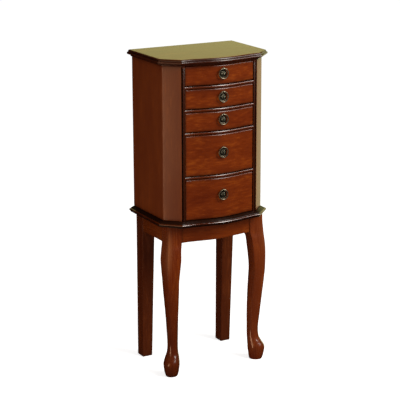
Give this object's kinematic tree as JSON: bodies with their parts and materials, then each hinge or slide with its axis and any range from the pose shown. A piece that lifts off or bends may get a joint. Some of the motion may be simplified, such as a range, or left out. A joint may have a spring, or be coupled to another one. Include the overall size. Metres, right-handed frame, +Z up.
{
  "type": "jewelry armoire",
  "caption": "Tall narrow wooden jewelry armoire with a serpentine drawer front, canted side doors, a flip-top mirrored lid and cabriole front legs.",
  "frame": {"origin": "on the floor, under the middle of the bounding box", "axes": "+Z up, -Y out of the drawer fronts, +X to the right of someone facing the drawers"},
  "size_m": [0.3664, 0.2786, 0.965],
  "materials": {
    "cherry": "red cherry stain under semi-gloss varnish",
    "dark_cherry": "dark cherry stain, satin varnish",
    "lining_wood": "light stained wood, lined with felt inside",
    "velvet": "soft velvet over foam",
    "mirror_glass": "silvered glass",
    "hinge_metal": "aged brass, dull",
    "pull_plate": "dark antique brass, satin",
    "pull_ring": "antique brass, rubbed bright"
  },
  "bodies": {
    "case": {"base_board": "cherry", "back_panel": "dark_cherry", "left_partition": "dark_cherry", "right_partition": "dark_cherry", "left_stile": "cherry", "right_stile": "cherry", "drawer_rail_1": "cherry", "drawer_rail_2": "cherry", "drawer_rail_3": "cherry", "drawer_rail_4": "cherry", "top_frame": "dark_cherry", "lid_tray": "lining_wood", "ring_rolls": "velvet", "front_apron": "cherry", "left_apron": "cherry", "right_apron": "cherry", "rear_apron": "dark_cherry", "left_front_leg": "cherry", "right_front_leg": "cherry", "left_rear_leg": "dark_cherry", "right_rear_leg": "dark_cherry", "lid_left_hinge_fixed_leaf": "hinge_metal", "lid_right_hinge_fixed_leaf": "hinge_metal", "left_door_lower_hinge_fixed_leaf": "hinge_metal", "left_door_upper_hinge_fixed_leaf": "hinge_metal", "right_door_lower_hinge_fixed_leaf": "hinge_metal", "right_door_upper_hinge_fixed_leaf": "hinge_metal"},
    "lid_assembly": {"lid": "cherry", "lid_mirror": "mirror_glass", "lid_left_hinge_moving_leaf": "hinge_metal", "lid_right_hinge_moving_leaf": "hinge_metal"},
    "left_door_assembly": {"left_door": "cherry", "left_hook_rail": "lining_wood", "left_door_lower_hinge_moving_leaf": "hinge_metal", "left_door_upper_hinge_moving_leaf": "hinge_metal"},
    "right_door_assembly": {"right_door": "cherry", "right_hook_rail": "lining_wood", "right_door_lower_hinge_moving_leaf": "hinge_metal", "right_door_upper_hinge_moving_leaf": "hinge_metal"},
    "drawer_1": {"drawer_1_front": "cherry", "drawer_1_box": "lining_wood", "drawer_1_rosette": "pull_plate"},
    "drawer_2": {"drawer_2_front": "cherry", "drawer_2_box": "lining_wood", "drawer_2_rosette": "pull_plate"},
    "drawer_3": {"drawer_3_front": "cherry", "drawer_3_box": "lining_wood", "drawer_3_rosette": "pull_plate"},
    "drawer_4": {"drawer_4_front": "cherry", "drawer_4_box": "lining_wood", "drawer_4_rosette": "pull_plate"},
    "drawer_5": {"drawer_5_front": "cherry", "drawer_5_box": "lining_wood", "drawer_5_rosette": "pull_plate"},
    "ring_1": {"drawer_1_ring": "pull_ring"},
    "ring_2": {"drawer_2_ring": "pull_ring"},
    "ring_3": {"drawer_3_ring": "pull_ring"},
    "ring_4": {"drawer_4_ring": "pull_ring"},
    "ring_5": {"drawer_5_ring": "pull_ring"}
  },
  "joints": [
    {"name": "lid_hinge", "type": "hinge", "parent": "case", "child": "lid_assembly", "pos_m": [0, 0.13085, 0.9445], "axis": [-1, 0, 0], "range_deg": [0, 100]},
    {"name": "left_door_hinge", "type": "hinge", "parent": "case", "child": "left_door_assembly", "pos_m": [-0.1545, 0.13085, 0.7], "axis": [0, 0, -1], "range_deg": [0, 95]},
    {"name": "right_door_hinge", "type": "hinge", "parent": "case", "child": "right_door_assembly", "pos_m": [0.1545, 0.13085, 0.7], "axis": [0, 0, 1], "range_deg": [0, 95]},
    {"name": "drawer_1_slide", "type": "slide", "parent": "case", "child": "drawer_1", "axis": [0, -1, 0], "range_m": [0, 0.15]},
    {"name": "drawer_2_slide", "type": "slide", "parent": "case", "child": "drawer_2", "axis": [0, -1, 0], "range_m": [0, 0.15]},
    {"name": "drawer_3_slide", "type": "slide", "parent": "case", "child": "drawer_3", "axis": [0, -1, 0], "range_m": [0, 0.15]},
    {"name": "drawer_4_slide", "type": "slide", "parent": "case", "child": "drawer_4", "axis": [0, -1, 0], "range_m": [0, 0.15]},
    {"name": "drawer_5_slide", "type": "slide", "parent": "case", "child": "drawer_5", "axis": [0, -1, 0], "range_m": [0, 0.15]},
    {"name": "ring_1_swing", "type": "hinge", "parent": "drawer_1", "child": "ring_1", "pos_m": [0, -0.12875, 0.5717], "axis": [-1, 0, 0], "range_deg": [0, 85]},
    {"name": "ring_2_swing", "type": "hinge", "parent": "drawer_2", "child": "ring_2", "pos_m": [0, -0.12875, 0.6992], "axis": [-1, 0, 0], "range_deg": [0, 85]},
    {"name": "ring_3_swing", "type": "hinge", "parent": "drawer_3", "child": "ring_3", "pos_m": [0, -0.12875, 0.7972], "axis": [-1, 0, 0], "range_deg": [0, 85]},
    {"name": "ring_4_swing", "type": "hinge", "parent": "drawer_4", "child": "ring_4", "pos_m": [0, -0.12875, 0.8637], "axis": [-1, 0, 0], "range_deg": [0, 85]},
    {"name": "ring_5_swing", "type": "hinge", "parent": "drawer_5", "child": "ring_5", "pos_m": [0, -0.12875, 0.9317], "axis": [-1, 0, 0], "range_deg": [0, 85]}
  ]
}
